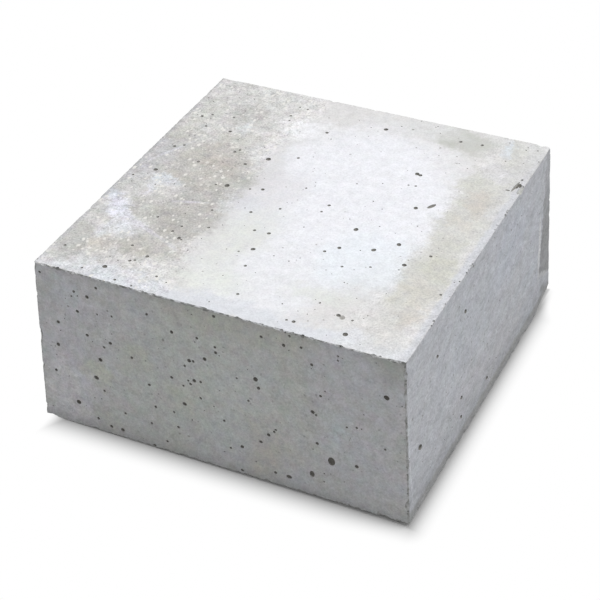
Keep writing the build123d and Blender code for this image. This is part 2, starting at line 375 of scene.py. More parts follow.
class BlockSizes(bpy.types.PropertyGroup):
    """Sizes of the cast block."""

    face_side: length_property("Face side", "Side of the square face on top", 0.2)
    base_side: length_property("Base side", "Side of the square underside", block_high.x - block_low.x)
    height: length_property("Height", "Height of the block", block_high.z - block_low.z)
    facet_foot: length_property("Facet foot", "Width of the broken back right facet at the base", 0.027)
    facet_head: length_property("Facet head", "Width of that facet at the face", 0.0085)
    facet_depth: length_property("Facet depth", "How far that facet cuts into the back", 0.0015)


class BlockWear(bpy.types.PropertyGroup):
    """How the arrises and faces are worn."""

    face_arris: length_property("Face arris", "Radius of the arrises round the face", 0.0009)
    upright_arris: length_property("Upright arris", "Radius of the upright arrises", 0.0013)
    worn_arris: length_property("Worn arris", "Radius of the worn back left upright", 0.0036)
    base_arris: length_property("Base arris", "Radius of the arrises round the base", 0.0009)
    calm_arris: length_property("Calm arris", "Radius of the face's arris on the right", 0.0006)
    worn_head: length_property("Worn head", "Radius of the face's arrises at the back left corner", 0.0024)
    worn_foot: length_property("Worn foot", "Radius of the base's arrises at the near corner", 0.0042)
    raggedness: bpy.props.FloatProperty(
        name="Raggedness", description="How unevenly the arrises are worn", default=0.45, subtype="FACTOR"
    )
    chip_spacing: length_property("Chip spacing", "Distance between crumbs lost from the arrises", 0.0022)
    chip_size: length_property("Chip size", "Radius of the largest crumb lost", 0.0011)
    waviness: length_property("Waviness", "Depth of the mould's unevenness", 0.00025)
    seed: bpy.props.IntProperty(name="Seed", description="Draws other crumbs and voids", default=4)


class BlockVoids(bpy.types.PropertyGroup):
    """Air voids in the cast faces."""

    fine_density: bpy.props.FloatProperty(
        name="Fine voids", description="Number of the finest voids on a square metre", default=5200.0
    )
    fine_size: length_property("Fine size", "Radius of the largest fine void", 0.0005)
    coarse_density: bpy.props.FloatProperty(
        name="Coarse voids",
        description="Number of coarse voids on a square metre of the far sides",
        default=3200.0,
    )
    coarse_size: length_property("Coarse size", "Radius of the largest coarse void", 0.0017)


class BlockColours(bpy.types.PropertyGroup):
    """Colours of the concrete."""

    paste: tint_property("Paste", "Grey cement paste of the sides", 183, 184, 181)
    cool_paste: tint_property("Cool paste", "Cooler clouds in the paste", 184, 185, 188)
    right_paste: tint_property("Right paste", "Paste of the right side", 183, 185, 190)
    # The foot's colour is partly damp and partly painted shade at the base
    foot: tint_property("Foot", "Darker band along the base", 150, 151, 152)
    face: tint_property("Face", "Face on top between its stains", 220, 219, 219)
    core: tint_property("Core", "Sandy core where an arris is broken", 150, 150, 147)
    # Dark core: a darker grey on broken arrises at the top of the front and, half as strong, at the foot
    dark_core: tint_property("Dark core", "Broken front arrises, with dirt in them", 117, 118, 116)
    # Inside the voids: partly their own colour, partly painted shade, laid on more strongly deeper in
    hollow: tint_property("Hollow", "Inside of the voids", 126, 124, 119)
    pale_hollow: tint_property("Pale hollow", "Inside of the voids of the face", 152, 150, 145)
    # The facet's colour is partly its broken surface and partly painted shade of its turn away from the light
    facet: tint_property("Facet", "The broken back right facet", 146, 147, 148)
    fleck: tint_property("Fleck", "Small light flecks in the stained part of the face", 238, 236, 231)


class BlockStage(bpy.types.PropertyGroup):
    """The plain studio round the block."""

    floor_side: length_property("Floor", "Side of the floor", 8.0)
    footprint: length_property("Footprint", "Side of the block's place on the floor", 0.2085)
    shadow_reach: length_property("Shadow reach", "How far from the block its shadow shows", 0.018)
    bright_reach: length_property("Bright reach", "The same on the right, under the lamp", 0.0118)
    floor: tint_property("Floor colour", "What the floor gives back to the block", 200, 200, 200)
    floor_by_block: tint_property("Floor by the block", "Floor that shows beside the block", 208, 208, 208)
    surroundings: bpy.props.FloatProperty(
        name="Surroundings", description="Light from all round", default=0.6
    )
    key_power: bpy.props.FloatProperty(
        name="Key lamp", description="Power of the lamp on the right", default=25.0, unit="POWER"
    )


class Plan:
    """Adds nodes to a tree, column by column, and joins them up."""

    COLUMN_WIDTH, ROW_HEIGHT, ROWS = 220, 240, 7

    def __init__(self, tree):
        self.tree = tree
        self.count = 0

    def feed(self, socket, value):
        """Joins a node or a socket to a socket, or sets its value."""
        if isinstance(value, bpy.types.Node):
            value = value.outputs[0]
        if isinstance(value, bpy.types.NodeSocket):
            self.tree.links.new(value, socket)
        else:
            socket.default_value = value

    def node(self, kind, inputs=None, **settings):
        """A new node with its settings, and its inputs by name or number."""
        node = self.tree.nodes.new(kind)
        column, row = divmod(self.count, self.ROWS)
        node.location = (self.COLUMN_WIDTH * column, -self.ROW_HEIGHT * row)
        self.count += 1
        for name, value in settings.items():
            setattr(node, name, value)
        for name, value in (inputs or {}).items():
            self.feed(node.inputs[name], value)
        return node

    def group(self, tree, inputs):
        """A node that stands for another tree."""
        return self.node("ShaderNodeGroup", inputs, node_tree=tree)

    def give(self, outputs):
        """Hands values to the tree's outputs, and gives back the whole tree."""
        self.node("NodeGroupOutput", outputs)
        return self.tree

    def maths(self, operation, *values, clamp=False):
        """A number worked out from one to three others."""
        return self.node("ShaderNodeMath", dict(enumerate(values)), operation=operation, use_clamp=clamp)

    def times(self, first, *others):
        """Numbers multiplied by each other."""
        for other in others:
            first = self.maths("MULTIPLY", first, other)
        return first

    def plus(self, one, other):
        """Two numbers together."""
        return self.maths("ADD", one, other)

    def less(self, one, other):
        """One number less another."""
        return self.maths("SUBTRACT", one, other)

    def most(self, one, other):
        """The greater of two numbers."""
        return self.maths("MAXIMUM", one, other)

    def vector(self, operation, *values):
        """A vector worked out from others."""
        inputs = dict(enumerate(values))
        if operation == "SCALE":
            inputs = {0: values[0], "Scale": values[1]}
        node = self.node("ShaderNodeVectorMath", inputs, operation=operation)
        return node.outputs["Value"] if operation in ("LENGTH", "DOT_PRODUCT") else node.outputs[0]

    def point(self, x, y=0.0, z=0.0):
        """A vector put together from its parts."""
        return self.node("ShaderNodeCombineXYZ", {0: x, 1: y, 2: z})

    def parts(self, vector):
        """The parts of a vector, by the names X, Y and Z."""
        return self.node("ShaderNodeSeparateXYZ", {0: vector}).outputs

    def noise(self, place, size, detail, roughness, turn=None):
        """Noise whose blotches are about size metres across, and other noise for each turn."""
        values = {"Vector": place, "Scale": 1.0 / size, "Detail": detail, "Roughness": roughness}
        if turn is None:
            return self.node("ShaderNodeTexNoise", values)
        return self.node("ShaderNodeTexNoise", {**values, "W": turn}, noise_dimensions="4D")

    def drift(self, place, size, detail, roughness):
        """Noise in three directions, about zero."""
        noise = self.noise(place, size, detail, roughness)
        return self.vector("SUBTRACT", noise.outputs["Color"], (0.5, 0.5, 0.5))

    def ramp(self, value, low, high, to_low=0.0, to_high=1.0, smooth=True):
        """A value spread from low to high over a new span, held at its ends."""
        return self.node(
            "ShaderNodeMapRange",
            {"Value": value, "From Min": low, "From Max": high, "To Min": to_low, "To Max": to_high},
            interpolation_type="SMOOTHSTEP" if smooth else "LINEAR",
        )

    def fade(self, value, low, high):
        """One up to low, none from high."""
        return self.ramp(value, low, high, 1.0, 0.0)

    def between(self, share, low, high):
        """A number at a share of the way from low to high."""
        return self.ramp(share, 0.0, 1.0, low, high, smooth=False)

    def blend(self, share, under, over, kind="MIX"):
        """One colour over another, by a share."""
        node = self.node("ShaderNodeMix", data_type="RGBA", blend_type=kind)
        for number, value in ((0, share), (6, under), (7, over)):
            self.feed(node.inputs[number], value)
        return node.outputs[2]

    def tinted(self, share, under, shade):
        """A colour times a shade of grey, by a share."""
        return self.blend(share, under, (shade, shade, shade, 1.0), "MULTIPLY")

    def mark(self, name):
        """What the geometry has stored by a name."""
        return self.node("ShaderNodeAttribute", attribute_name=name).outputs["Fac"]

    def position(self):
        """Where each point of the geometry is."""
        return self.node("GeometryNodeInputPosition")

    def put(self, shape, position):
        """A shape with its points put at new places."""
        return self.node("GeometryNodeSetPosition", {"Geometry": shape, "Position": position})

    def moved(self, shape, offset):
        """A shape with its points moved."""
        return self.node("GeometryNodeSetPosition", {"Geometry": shape, "Offset": offset})


SOCKETS = {float: "NodeSocketFloat", int: "NodeSocketInt", tuple: "NodeSocketVector"}


def new_plan(kind, name, inputs, outputs):
    """Plan of an empty node tree, and what its inputs hand in.

    Inputs are values by name, or kinds of socket where there is no value. Outputs are kinds of socket.
    """
    tree = bpy.data.node_groups.new(name, kind)
    for label, value in inputs.items():
        socket = value if isinstance(value, str) else SOCKETS[type(value)]
        item = tree.interface.new_socket(label, in_out="INPUT", socket_type=socket)
        if socket != value:
            item.default_value = value
    for label, socket in outputs.items():
        tree.interface.new_socket(label, in_out="OUTPUT", socket_type=socket)
    plan = Plan(tree)
    return plan, plan.node("NodeGroupInput").outputs


def half_side(sizes, height):
    """Half of the block's side at a height above the base."""
    share = height / sizes.height
    return (sizes.base_side * (1 - share) + sizes.face_side * share) / 2


def lean(sizes):
    """How far an upright side leans in for each metre of height."""
    return (sizes.base_side - sizes.face_side) / 2 / sizes.height


def on_outline(sizes, x, y, z):
    """Point on the outline of the unworn block, in hundredths of the half side and of the height."""
    height = z / 100 * sizes.height
    half = half_side(sizes, height)
    return Vector((x / 100 * half, y / 100 * half, height))


def outward(x, y, z):
    """Direction away from the block where its sides meet, at a place in hundredths."""
    return Vector((int(x / 100), int(y / 100), (z == 100) - (z == 0))).normalized()


def fitted(across, up, fit):
    """A place read off a side of the photograph, moved to where this camera sees it, in mm."""
    (start, by_across, by_up), (rise, rise_by_across, rise_by_up) = fit
    moved_across = across + start + by_across * across + by_up * up
    return moved_across, up + rise + rise_by_across * across + rise_by_up * up


def on_face(sizes, right, back):
    """Place, outward direction and direction to the right on the face on top."""
    right, back = fitted(right, back, FACE_FIT)
    return Vector((right * MM, back * MM, sizes.height)), Vector((0, 0, 1)), Vector((1, 0, 0))


def on_front(sizes, right, up):
    """Place, outward direction and direction to the right on the front."""
    right, up = fitted(right, up, FRONT_FIT)
    place = Vector((right * MM, -half_side(sizes, up * MM), up * MM))
    return place, Vector((0, -1, lean(sizes))).normalized(), Vector((1, 0, 0))


def on_right(sizes, back, up):
    """Place, outward direction and direction to the back on the right side."""
    back, up = fitted(back, up, RIGHT_FIT)
    place = Vector((half_side(sizes, up * MM), back * MM, up * MM))
    return place, Vector((1, 0, lean(sizes))).normalized(), Vector((0, 1, 0))


class Survey:
    """Points and lines that say where the block is worn, with what the tree needs to know at each."""

    def __init__(self):
        self.marks = []
        self.lines = []

    def mark(self, place, kind, facing, along, radii, wear=0.0):
        """Notes one point."""
        self.marks.append((place, kind, facing, along, radii, wear))

    def line(self, start, end, facing, start_wear, end_wear):
        """Notes one arris, with a little more than its length so that the arrises meet."""
        along = (end - start).normalized()
        spare = along * ARRIS_SPARE * MM
        self.mark(start - spare, ARRIS, facing, along, (0, 0, 0), start_wear)
        self.mark(end + spare, ARRIS, facing, along, (0, 0, 0), end_wear)
        self.lines.append((len(self.marks) - 2, len(self.marks) - 1))

    def mesh(self):
        """The notes as a mesh with attributes."""
        places, kinds, facings, alongs, radii, wear = zip(*self.marks)
        mesh = bpy.data.meshes.new("survey")
        mesh.from_pydata(places, self.lines, [])
        for name, kind, values in (("kind", "INT", kinds), ("wear", "FLOAT", wear)):
            mesh.attributes.new(name, kind, "POINT").data.foreach_set("value", values)
        for name, values in (("facing", facings), ("along", alongs), ("radii", radii)):
            flat = [number for value in values for number in value]
            mesh.attributes.new(name, "FLOAT_VECTOR", "POINT").data.foreach_set("vector", flat)
        return mesh


def survey_arrises(survey, sizes, wear):
    """Notes the twelve arrises, with the radius that each is worn to."""
    heads, feet = {BACK_LEFT: wear.worn_head}, {FRONT_RIGHT: wear.worn_foot}
    uprights = {BACK_LEFT: wear.worn_arris}
    for here, there in zip(CORNERS, CORNERS[1:] + CORNERS[:1]):
        side = ((here[0] + there[0]) / 2, (here[1] + there[1]) / 2)
        usual = wear.calm_arris if side[0] > 0 else wear.face_arris
        for z, worn, radius in ((100, heads, usual), (0, feet, wear.base_arris)):
            start, end = on_outline(sizes, *here, z), on_outline(sizes, *there, z)
            survey.line(start, end, outward(*side, z), worn.get(here, radius), worn.get(there, radius))
        foot, head = on_outline(sizes, *here, 0), on_outline(sizes, *here, 100)
        radius = uprights.get(here, wear.upright_arris)
        survey.line(foot, head, outward(*here, 50), radius, radius)


def survey_breaks(survey, sizes):
    """Notes the broken facet and the spalls."""
    low, top = half_side(sizes, 0), half_side(sizes, sizes.height)
    foot = Vector((low, low - sizes.facet_foot, 0))
    head = Vector((top, top - sizes.facet_head, sizes.height))
    back = Vector((low - sizes.facet_depth, low, 0))
    facing = (back - foot).cross(head - foot).normalized()
    survey.mark((foot + head) / 2, SLAB, facing, (head - foot).normalized(), SLAB_REACH)
    for x, y, z, length, depth in SPALLS:
        along = Vector((0, 0, 1))
        if z in (0, 100):
            along = Vector((0, 1, 0)) if abs(x) > BY_CORNER > abs(y) else Vector((1, 0, 0))
        radii = (length / 2 * MM, depth * SPALL_WIDTH * MM, depth * MM)
        survey.mark(on_outline(sizes, x, y, z), CHIP, outward(x, y, z), along, radii)


def survey_voids(survey, sizes, draw):
    """Notes the listed voids, with a drawn width and turn where they have none of their own."""
    for on_side, voids, dimples, long_voids in (
        (on_face, FACE_VOIDS, FACE_DIMPLES, FACE_LONG_VOIDS),
        (on_front, FRONT_VOIDS, FRONT_DIMPLES, FRONT_LONG_VOIDS),
        (on_right, (), RIGHT_DIMPLES, RIGHT_LONG_VOIDS),
    ):
        shapes = []
        for right, up, size in voids:
            width = size * draw.uniform(NARROWEST, 1.0)
            shapes.append((right, up, size, width, draw.uniform(0, 180), VOID_SUNK))
        for right, up, size in dimples:
            shapes.append((right, up, size * DIMPLE_LENGTH, size, draw.uniform(0, 180), DIMPLE_SUNK))
        shapes += [(*long_void, LONG_VOID_SUNK) for long_void in long_voids]
        for right, up, length, width, turn, sunk in shapes:
            place, facing, across = on_side(sizes, right, up)
            along = Matrix.Rotation(math.radians(turn), 3, facing) @ across
            spread = (CUTTER_SHARE - CUTTER_LOSS * width) * MM
            radii = (length * spread, width * spread, width * spread)
            survey.mark(place - facing * (sunk * width * MM), VOID, facing, along, radii)


def round_ball(plan, segments, rings):
    """A ball of radius one."""
    return plan.node("GeometryNodeMeshUVSphere", {"Segments": segments, "Rings": rings, "Radius": 1.0})


def lumpy_cutters(plan, ball, numbers, strength, size, name):
    """Cutters made from a ball, each with an uneven surface of its own."""
    balls = []
    for number in numbers:
        lumps = plan.noise(plan.position(), size, 2.0, 0.6, turn=float(number))
        height = plan.maths("MULTIPLY_ADD", lumps, strength * 2, -strength)
        balls.append(plan.moved(ball, plan.vector("SCALE", plan.node("GeometryNodeInputNormal"), height)))
    return cutters(plan, balls, name)


def cutters(plan, shapes, name):
    """Shapes to pick from, marked by name so that the finish knows what they cut."""
    joined = plan.node("GeometryNodeJoinGeometry")
    for shape in shapes:
        held = plan.node("GeometryNodeGeometryToInstance", {"Geometry": stored(plan, shape, name)})
        plan.feed(joined.inputs["Geometry"], held)
    return joined


def stored(plan, shape, name):
    """A shape that carries a mark on each of its faces."""
    inputs = {"Geometry": shape, "Name": name, "Value": 1.0}
    return plan.node("GeometryNodeStoreNamedAttribute", inputs, data_type="FLOAT", domain="FACE")


def read(plan, name, kind):
    """A named attribute of the survey."""
    return plan.node("GeometryNodeInputNamedAttribute", {"Name": name}, data_type=kind).outputs["Attribute"]


def drawn(plan, seed, low, high, power):
    """A random number for each element, drawn more often near low when power is above 1."""
    draw = plan.node("FunctionNodeRandomValue", {"Seed": seed}, data_type="FLOAT")
    return plan.between(plan.maths("POWER", draw.outputs[1], power), low, high)


def drawn_vector(plan, seed, low, high):
    """A random vector for each element, with parts from low to high."""
    inputs = {0: (low,) * 3, 1: (high,) * 3, "Seed": seed}
    return plan.node("FunctionNodeRandomValue", inputs, data_type="FLOAT_VECTOR").outputs[0]


def scattered(plan, points, shapes, seed, rotation, scale, selection=True):
    """One of three shapes, picked at random, at each point."""
    pick = plan.node("FunctionNodeRandomValue", {4: 0, 5: 2, "Seed": seed}, data_type="INT")
    return plan.node(
        "GeometryNodeInstanceOnPoints",
        {
            "Points": points,
            "Selection": selection,
            "Instance": shapes,
            "Pick Instance": True,
            "Instance Index": pick.outputs[2],
            "Rotation": rotation,
            "Scale": scale,
        },
    )


def moulded_body(plan, given):
    """The body as it leaves the mould, with its draft and a little unevenness."""
    base, height = given["Base side"], given["Height"]
    points = {"Vertices X": BODY_POINTS, "Vertices Y": BODY_POINTS, "Vertices Z": BODY_LAYERS}
    cube = plan.node("GeometryNodeMeshCube", {"Size": plan.point(base, base, height), **points})
    at = plan.parts(plan.position())
    up = plan.maths("MULTIPLY_ADD", height, 0.5, at["Z"])
    narrow = plan.maths("DIVIDE", given["Face side"], base)
    shrink = plan.between(plan.maths("DIVIDE", up, height), 1.0, narrow)
    tapered = plan.put(cube, plan.point(plan.times(at["X"], shrink), plan.times(at["Y"], shrink), up))
    depth = plan.times(plan.noise(plan.position(), 0.045, 2.0, 0.45), given["Waviness"], -1.0)
    return plan.moved(tapered, plan.vector("SCALE", plan.node("GeometryNodeInputNormal"), depth))


def worn_arrises(plan, lines, facing, raggedness):
    """What is worn off the arrises: ragged bars, each with the negative of its arris on the inner side."""
    wear = read(plan, "wear", "FLOAT")
    fine = plan.node("GeometryNodeResampleCurve", {"Curve": lines, "Length": ARRIS_STEP}, mode="LENGTH")
    turned = plan.node("GeometryNodeSetCurveNormal", {"Curve": fine, "Normal": facing}, mode="FREE")
    ring = plan.node("GeometryNodeCurvePrimitiveCircle", {"Resolution": 12, "Radius": 1.0}, mode="RADIUS")
    rim = plan.parts(plan.position())
    inner = plan.maths("LESS_THAN", rim["X"], -0.01)
    spread = plan.times(rim["Y"], plan.between(inner, *BAR_WIDTHS))
    bowed = plan.maths("SQRT", plan.less(1.0, plan.maths("POWER", spread, 2.0)))
    sides = {
        "Switch": inner,
        "False": plan.maths("MULTIPLY_ADD", rim["X"], *BAR_STANDS_OUT),
        "True": plan.less(bowed, math.sqrt(2)),
    }
    section = plan.put(ring, plan.point(plan.node("GeometryNodeSwitch", sides, input_type="FLOAT"), spread))
    bars = plan.node(
        "GeometryNodeCurveToMesh",
        {"Curve": turned, "Profile Curve": section, "Scale": wear, "Fill Caps": True},
    )
    here = plan.position()
    jitter = plan.vector("SCALE", plan.drift(here, 0.0022, 3.0, 0.65), plan.times(wear, raggedness))
    gone = plan.ramp(plan.noise(here, 0.011, 2.0, 0.5), 0.55, 0.8, 0.0, -0.9)
    dug = plan.vector("SCALE", facing, plan.times(gone, plan.maths("MINIMUM", wear, DEEPEST_BREAK)))
    ragged = stored(plan, plan.moved(bars, plan.vector("ADD", jitter, dug)), "broken")
    island = plan.node("GeometryNodeInputMeshIsland").outputs["Island Index"]
    return plan.node("GeometryNodeSplitToInstances", {"Geometry": ragged, "Group ID": island}, domain="FACE")


def lost_crumbs(plan, lines, given):
    """Crumbs lost along the arrises."""
    seed = given["Seed"]
    spaced = plan.node(
        "GeometryNodeResampleCurve", {"Curve": lines, "Length": given["Chip spacing"]}, mode="LENGTH"
    )
    points = plan.node("GeometryNodeCurveToPoints", {"Curve": spaced}, mode="EVALUATED")
    sites = plan.moved(points, drawn_vector(plan, seed, -CRUMB_STRAY, CRUMB_STRAY))
    crumbs = lumpy_cutters(plan, round_ball(plan, 8, 5), (11, 12, 13), 0.35, 0.9, "broken")
    tumbled = plan.node("FunctionNodeEulerToRotation", {"Euler": drawn_vector(plan, seed, 0.0, math.tau)})
    size = drawn(plan, seed, SMALLEST_CRUMB, given["Chip size"], 2.5)
    return scattered(plan, sites, crumbs, seed, tumbled, size)


def surveyed_cuts(plan, survey, facing, void_shapes):
    """The voids, the spalls and the facet that the survey has."""
    kind, radii = read(plan, "kind", "INT"), read(plan, "radii", "FLOAT_VECTOR")
    axes = {"Primary Axis": facing, "Secondary Axis": read(plan, "along", "FLOAT_VECTOR")}
    stood = plan.node("FunctionNodeAxesToRotation", axes, primary_axis="Z", secondary_axis="X")
    chip_ball = plan.node("GeometryNodeMeshIcoSphere", {"Subdivisions": 4, "Radius": 1.0})
    slab = plan.node(
        "GeometryNodeMeshCube",
        {"Size": (2.0, 2.0, 1.0), "Vertices X": 120, "Vertices Y": 40, "Vertices Z": 2},
    )
    slab = plan.moved(slab, (0.0, 0.0, 0.5))
    slab_place = plan.vector("MULTIPLY", plan.position(), (*SLAB_REACH[:2], 0.0))
    slab_lumps = plan.maths("MULTIPLY_ADD", plan.noise(slab_place, 0.004, 4.0, 0.6), 0.05, -0.025)
    slab = plan.moved(slab, plan.point(0.0, 0.0, slab_lumps))
    cuts = []
    for number, shapes in (
        (VOID, void_shapes),
        (CHIP, lumpy_cutters(plan, chip_ball, (5, 6, 7), 0.45, 0.8, "broken")),
        (SLAB, cutters(plan, [slab] * 3, "facet")),
    ):
        wanted = plan.node("FunctionNodeCompare", {2: kind, 3: number}, data_type="INT", operation="EQUAL")
        cuts.append(scattered(plan, survey, shapes, number, stood, radii, wanted))
    return cuts


def scattered_voids(plan, body, given, void_shapes):
    """Fine voids everywhere, and coarse ones on the sides that face away."""
    normal = plan.parts(plan.node("GeometryNodeInputNormal"))
    away = plan.most(plan.times(normal["X"], -1.0), normal["Y"])
    far = plan.node("FunctionNodeCompare", {0: away, 1: 0.5}, data_type="FLOAT", operation="GREATER_THAN")
    fine_shapes = lumpy_cutters(plan, round_ball(plan, 8, 5), (8, 9, 10), 0.12, 1.2, "hollow")
    cuts = []
    for name, added_seed, smallest, power, selection, shapes in (
        ("Fine", 20, SMALLEST_FINE, 1.6, True, fine_shapes),
        ("Coarse", 21, SMALLEST_COARSE, 3.0, far, void_shapes),
    ):
        seed = plan.plus(given["Seed"], added_seed)
        spots = plan.node(
            "GeometryNodeDistributePointsOnFaces",
            {"Mesh": body, "Selection": selection, "Density": given[name + " voids"], "Seed": seed},
        ).outputs
        radius = drawn(plan, seed, smallest, given[name + " size"], power)
        sunk = plan.moved(spots["Points"], plan.vector("SCALE", spots["Normal"], plan.times(radius, -0.3)))
        cuts.append(scattered(plan, sunk, shapes, seed, spots["Rotation"], radius))
    return cuts


def block_tree(values):
    """The worn block: a tapered body less its arrises, crumbs, spalls, facet and voids."""
    plan, given = new_plan(
        "GeometryNodeTree",
        "worn_block",
        {"Survey": "NodeSocketGeometry", **values, "Finish": "NodeSocketMaterial"},
        {"Block": "NodeSocketGeometry"},
    )
    body = moulded_body(plan, given)
    facing = read(plan, "facing", "FLOAT_VECTOR")
    lines = plan.node("GeometryNodeMeshToCurve", {"Mesh": given["Survey"]})
    void_shapes = lumpy_cutters(plan, round_ball(plan, 11, 7), (1, 2, 3), 0.13, 1.2, "hollow")
    whole = plan.node("GeometryNodeMeshBoolean", {"Mesh 1": body}, operation="DIFFERENCE", solver="MANIFOLD")
    for cut in (
        worn_arrises(plan, lines, facing, given["Raggedness"]),
        lost_crumbs(plan, lines, given),
        *surveyed_cuts(plan, given["Survey"], facing, void_shapes),
        *scattered_voids(plan, body, given, void_shapes),
    ):
        plan.feed(whole.inputs["Mesh 2"], cut)
    bend = plan.node("GeometryNodeInputMeshEdgeAngle").outputs["Unsigned Angle"]
    sharp = plan.maths("GREATER_THAN", bend, math.radians(CREASE_ANGLE))
    for domain, selection, smooth in (("FACE", True, True), ("EDGE", sharp, False)):
        inputs = {"Geometry": whole, "Selection": selection, "Shade Smooth": smooth}
        whole = plan.node("GeometryNodeSetShadeSmooth", inputs, domain=domain)
    whole = plan.node("GeometryNodeRealizeInstances", {"Geometry": whole})
    finished = plan.node("GeometryNodeSetMaterial", {"Geometry": whole, "Material": given["Finish"]})
    return plan.give({"Block": finished})


def placed(scene, name, data):
    """A new object in the scene."""
    item = bpy.data.objects.new(name, data)
    scene.collection.objects.link(item)
    return item


def set_inputs(modifier, values):
    """Sets a modifier's inputs by the names that its tree gives them."""
    for item in modifier.node_group.interface.items_tree:
        if item.in_out == "INPUT" and item.name in values:
            modifier[item.identifier] = values[item.name]


def build_block(scene, material):
    """The worn block as a plain mesh."""
    sizes, wear, voids = scene.block_sizes, scene.block_wear, scene.block_voids
    notes = Survey()
    survey_arrises(notes, sizes, wear)
    survey_breaks(notes, sizes)
    survey_voids(notes, sizes, random.Random(wear.seed))
    survey = placed(scene, "survey", notes.mesh())
    values = {
        "Face side": sizes.face_side,
        "Base side": sizes.base_side,
        "Height": sizes.height,
        "Waviness": wear.waviness,
        "Raggedness": wear.raggedness,
        "Chip spacing": wear.chip_spacing,
        "Chip size": wear.chip_size,
        "Fine voids": voids.fine_density,
        "Fine size": voids.fine_size,
        "Coarse voids": voids.coarse_density,
        "Coarse size": voids.coarse_size,
        "Seed": wear.seed,
    }
    modifier = survey.modifiers.new("worn block", "NODES")
    modifier.node_group = block_tree(values)
    set_inputs(modifier, {**values, "Finish": material})
    seen = survey.evaluated_get(bpy.context.evaluated_depsgraph_get())
    mesh = bpy.data.meshes.new_from_object(seen)
    bpy.data.objects.remove(survey)
    return mesh


def stain_group():
    """Mask of one stain: an oval, turned and with a soft edge, on places that are already warped."""
    plan, given = new_plan(
        "ShaderNodeTree",
        "stain",
        {
            "Place": "NodeSocketVector",
            "Middle": (0.0, 0.0, 0.0),
            "Along": (1.0, 0.0, 0.0),
            "Across": (0.0, 1.0, 0.0),
            "Softness": 0.4,
        },
        {"Mask": "NodeSocketFloat"},
    )
    away = plan.vector("SUBTRACT", given["Place"], given["Middle"])
    along = plan.vector("DOT_PRODUCT", away, given["Along"])
    across = plan.vector("DOT_PRODUCT", away, given["Across"])
    far = plan.maths("SQRT", plan.maths("MULTIPLY_ADD", along, along, plan.times(across, across)))
    inner, outer = plan.less(1.0, given["Softness"]), plan.plus(1.0, given["Softness"])
    return plan.give({"Mask": plan.fade(far, inner, outer)})


def skin_depth_group():
    """How far a place is below the nearest cast face, below the face on top and behind the front."""
    plan, given = new_plan(
        "ShaderNodeTree",
        "skin_depth",
        {"Place": "NodeSocketVector", "Face side": 0.2, "Base side": 0.208, "Height": 0.098},
        {name: "NodeSocketFloat" for name in ("Depth", "Below face", "Behind front")},
    )
    at = plan.parts(given["Place"])
    share = plan.maths("DIVIDE", at["Z"], given["Height"])
    grown = plan.less(given["Face side"], given["Base side"])
    half = plan.times(plan.maths("MULTIPLY_ADD", share, grown, given["Base side"]), 0.5)
    inside = plan.less(half, plan.most(plan.maths("ABSOLUTE", at["X"]), plan.maths("ABSOLUTE", at["Y"])))
    below = plan.less(given["Height"], at["Z"])
    depth = plan.maths("MINIMUM", plan.maths("MINIMUM", inside, below), at["Z"])
    return plan.give({"Depth": depth, "Below face": below, "Behind front": plan.plus(half, at["Y"])})


def grain_group():
    """Sand and cement: a tint about one that is uneven at every scale, and a height for the relief."""
    plan, given = new_plan(
        "ShaderNodeTree",
        "cement_grain",
        {"Place": "NodeSocketVector", "Shade": 0.7, "Hue": 0.1},
        {"Tint": "NodeSocketColor", "Height": "NodeSocketFloat"},
    )
    sand = plan.noise(given["Place"], 0.0055, 4.6, 1.0)
    dust = plan.noise(given["Place"], 0.0010, 1.0, 0.6)
    uneven = plan.maths("MULTIPLY_ADD", plan.less(dust, 0.5), 0.35, plan.less(sand, 0.5))
    shade = plan.times(uneven, given["Shade"])
    hues = plan.drift(plan.vector("ADD", given["Place"], (0.3, 0.1, 0.2)), 0.006, 2.0, 0.6)
    hue = plan.vector("SCALE", hues, given["Hue"])
    tint = plan.vector("ADD", plan.vector("ADD", hue, plan.point(shade, shade, shade)), (1.0, 1.0, 1.0))
    return plan.give({"Tint": tint, "Height": sand})


def specks_group(name, dimensions):
    """Mask of small spots, some larger and some missing, one to a cell."""
    plan, given = new_plan(
        "ShaderNodeTree",
        name,
        {"Place": "NodeSocketVector", "Cell": 0.005, "Share": 0.5, "Reach": 0.3},
        {"Mask": "NodeSocketFloat"},
    )
    inputs = {"Vector": given["Place"], "Scale": plan.maths("DIVIDE", 1.0, given["Cell"])}
    cells = plan.node("ShaderNodeTexVoronoi", inputs, voronoi_dimensions=dimensions).outputs
    drawn_at = plan.node("ShaderNodeSeparateColor", {0: cells["Color"]}).outputs
    there = plan.maths("LESS_THAN", drawn_at["Red"], given["Share"])
    near = plan.maths("DIVIDE", cells["Distance"], plan.between(drawn_at["Green"], 0.08, given["Reach"]))
    return plan.give({"Mask": plan.times(plan.fade(near, 0.45, 1.0), there)})


